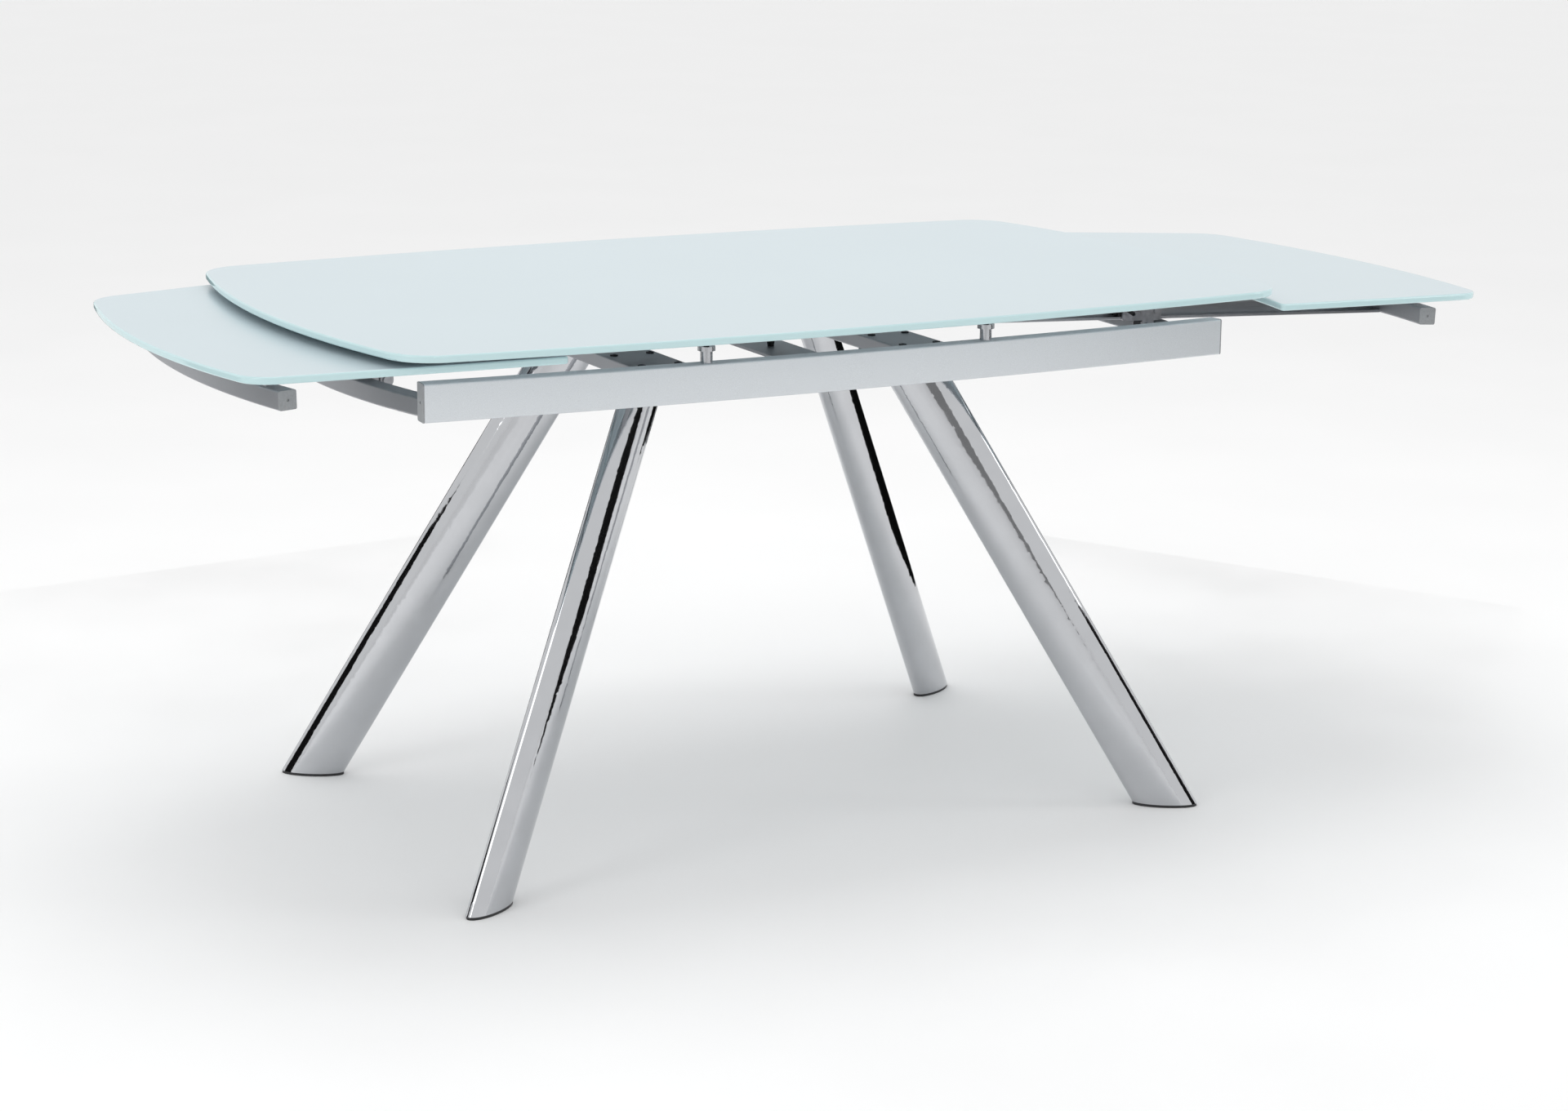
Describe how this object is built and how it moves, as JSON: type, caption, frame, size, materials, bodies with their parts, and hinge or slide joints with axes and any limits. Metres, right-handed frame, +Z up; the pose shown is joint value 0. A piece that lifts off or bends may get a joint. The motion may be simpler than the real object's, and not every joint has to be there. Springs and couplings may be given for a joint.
{
  "type": "extending glass dining table",
  "caption": "Barrel-shaped glass dining table on splayed oval chrome legs, with a glass leaf that slides out from under the top at each end.",
  "frame": {"origin": "on the floor under the middle of the main top", "axes": "+X along the table, +Y to the back, +Z up"},
  "size_m": [1.9512, 0.8786, 0.75],
  "materials": {
    "glass": "frosted top, polished aqua edge",
    "chrome": "mirror polished",
    "black_plastic": "matte",
    "grey_plastic": "fine moulded",
    "rubber": "matte",
    "silver_paint": "satin",
    "grey_paint": "satin",
    "aluminium": "satin",
    "black_steel": "satin",
    "satin_steel": "satin",
    "zinc_steel": "satin"
  },
  "bodies": {
    "frame": {"centre_bumpers": "rubber", "centre_plate": "grey_paint", "front_left_glide": "black_plastic", "front_left_leg": "chrome", "front_rail": "silver_paint", "front_rail_caps": "grey_plastic", "front_right_glide": "black_plastic", "front_right_leg": "chrome", "glass_discs": "satin_steel", "glass_posts": "satin_steel", "glass_studs": "black_steel", "left_crossmember": "grey_paint", "left_end_bar": "grey_paint", "left_roller_axles": "zinc_steel", "left_roller_brackets": "zinc_steel", "leg_plates": "grey_paint", "leg_screws": "black_steel", "main_top": "glass", "rear_left_glide": "black_plastic", "rear_left_leg": "chrome", "rear_rail": "silver_paint", "rear_rail_caps": "grey_plastic", "rear_right_glide": "black_plastic", "rear_right_leg": "chrome", "right_crossmember": "grey_paint", "right_end_bar": "grey_paint", "right_roller_axles": "zinc_steel", "right_roller_brackets": "zinc_steel"},
    "left cradle": {"left_cradle_plates": "zinc_steel", "left_guide_shoes": "black_plastic", "left_cradle_rivets": "zinc_steel"},
    "left leaf": {"left_leaf_bar": "grey_paint", "left_leaf_bar_caps": "grey_plastic", "left_leaf_discs": "satin_steel", "left_leaf_front_runner": "aluminium", "left_leaf_glass": "glass", "left_leaf_posts": "satin_steel", "left_leaf_rear_runner": "aluminium", "left_runner_plugs": "black_plastic", "left_runner_stops": "black_plastic"},
    "left rollers": {"left_rollers": "black_plastic"},
    "right cradle": {"right_cradle_plates": "zinc_steel", "right_guide_shoes": "black_plastic", "right_cradle_rivets": "zinc_steel"},
    "right leaf": {"right_leaf_bar": "grey_paint", "right_leaf_bar_caps": "grey_plastic", "right_leaf_discs": "satin_steel", "right_leaf_front_runner": "aluminium", "right_leaf_glass": "glass", "right_leaf_posts": "satin_steel", "right_leaf_rear_runner": "aluminium", "right_runner_plugs": "black_plastic", "right_runner_stops": "black_plastic"},
    "right rollers": {"right_rollers": "black_plastic"}
  },
  "joints": [
    {"name": "left_slide", "type": "slide", "parent": "left cradle", "child": "left leaf", "axis": [-0.9998, 0, -0.02], "range_m": [-0.176, 0.216]},
    {"name": "left_droop", "type": "hinge", "parent": "frame", "child": "left cradle", "pos_m": [-0.5735, 0, 0.6707], "axis": [0, 1, 0], "range_deg": [-1.41, 1.15]},
    {"name": "left_roll", "type": "hinge", "parent": "frame", "child": "left rollers", "pos_m": [-0.5735, 0, 0.6707], "axis": [0, 1, 0], "range_deg": [-1377, 1122]},
    {"name": "right_slide", "type": "slide", "parent": "right cradle", "child": "right leaf", "axis": [0.999, 0, -0.0445], "range_m": [-0.392, 0]},
    {"name": "right_droop", "type": "hinge", "parent": "frame", "child": "right cradle", "pos_m": [0.5735, 0, 0.6707], "axis": [0, 1, 0], "range_deg": [-2.55, 0]},
    {"name": "right_roll", "type": "hinge", "parent": "frame", "child": "right rollers", "pos_m": [0.5735, 0, 0.6707], "axis": [0, 1, 0], "range_deg": [-2497, 0]}
  ],
  "couplings": [
    {"joint": "left_droop", "follows": "left_slide", "rad_per_m": -0.1135},
    {"joint": "left_roll", "follows": "left_slide", "rad_per_m": -111.11},
    {"joint": "right_droop", "follows": "right_slide", "rad_per_m": 0.1135},
    {"joint": "right_roll", "follows": "right_slide", "rad_per_m": 111.11}
  ]
}
